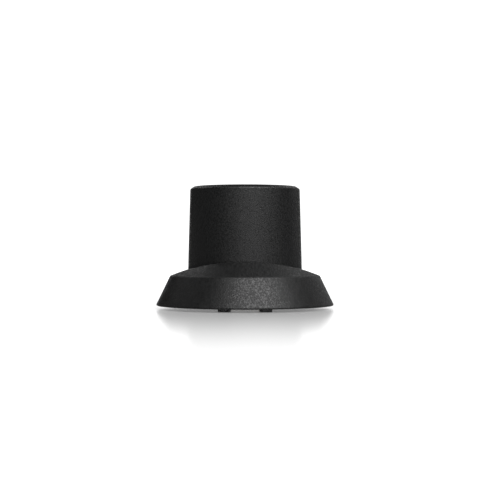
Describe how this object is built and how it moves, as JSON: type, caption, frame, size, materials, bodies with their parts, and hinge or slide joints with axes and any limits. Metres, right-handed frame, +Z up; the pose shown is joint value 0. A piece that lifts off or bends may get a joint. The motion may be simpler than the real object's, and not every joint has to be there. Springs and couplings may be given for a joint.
{
  "type": "gnss receiver",
  "caption": "Pole-mount satellite positioning receiver: wide flared base, cylindrical radome, rear port door, power button and threaded pole socket.",
  "frame": {"origin": "centre of the footprint, on the surface that the feet stand on", "axes": "+Z up along the pole thread's axis, -Y towards the plain front, +Y towards the port door and the button"},
  "size_m": [0.0804, 0.0804, 0.0553],
  "materials": {
    "moulded_shell": "fine moulded grain, near black",
    "cover_plastic": "fine moulded grain, black",
    "seal_rubber": "soft silicone, dark grey",
    "screw_steel": "stainless steel",
    "foot_rubber": "dense matte rubber, mid grey",
    "insert_brass": "turned brass",
    "label_film": "blank silver-grey film",
    "button_rubber": "moulded silicone, black",
    "clear_light_pipe": "frosted clear plastic",
    "led_package": "small light-emitting chips",
    "shield_steel": "tinned sheet steel",
    "circuit_board": "green solder mask",
    "flex_film": "amber polyimide film",
    "battery_foil": "laminated pouch foil",
    "foam": "closed-cell foam",
    "lead_insulation": "thin wire insulation",
    "former_plastic": "natural low-loss plastic",
    "helix_copper": "bare copper foil"
  },
  "bodies": {
    "housing": {"radome_cap": "moulded_shell", "radome_gasket": "seal_rubber", "radome_screws": "screw_steel", "base_shell": "moulded_shell", "bottom_cover": "cover_plastic", "cover_gasket": "seal_rubber", "cover_screws": "screw_steel", "rubber_feet": "foot_rubber", "thread_insert": "insert_brass", "rating_label": "label_film", "pressure_vent": "cover_plastic", "door_pin": "screw_steel", "button_boot": "seal_rubber", "light_pipes": "clear_light_pipe", "status_leds": "led_package", "power_switch": "shield_steel", "usb_receptacle": "shield_steel", "port_board": "circuit_board", "port_screws": "screw_steel", "port_flex": "flex_film", "main_board": "circuit_board", "board_screws": "screw_steel", "receiver_shield": "shield_steel", "radio_module": "shield_steel", "battery_cell": "battery_foil", "battery_pad": "foam", "battery_lead": "lead_insulation", "antenna_board": "circuit_board", "lna_shield": "shield_steel", "board_spacers": "insert_brass", "antenna_screws": "screw_steel", "antenna_former": "former_plastic", "helix_strips": "helix_copper", "helix_top_board": "circuit_board", "top_foam": "foam", "coax_lead": "lead_insulation"},
    "door": {"port_door": "moulded_shell", "door_seal": "seal_rubber"},
    "button": {"power_button": "button_rubber"}
  },
  "joints": [
    {"name": "port_door_hinge", "type": "hinge", "parent": "housing", "child": "door", "pos_m": [0, 0.03416, 0.01251], "axis": [1, 0, 0], "range_deg": [0, 95]},
    {"name": "power_button_press", "type": "slide", "parent": "housing", "child": "button", "axis": [0.4509, -0.781, -0.4321], "range_m": [0, 0.0005], "stiffness_N_per_m": 1500}
  ]
}
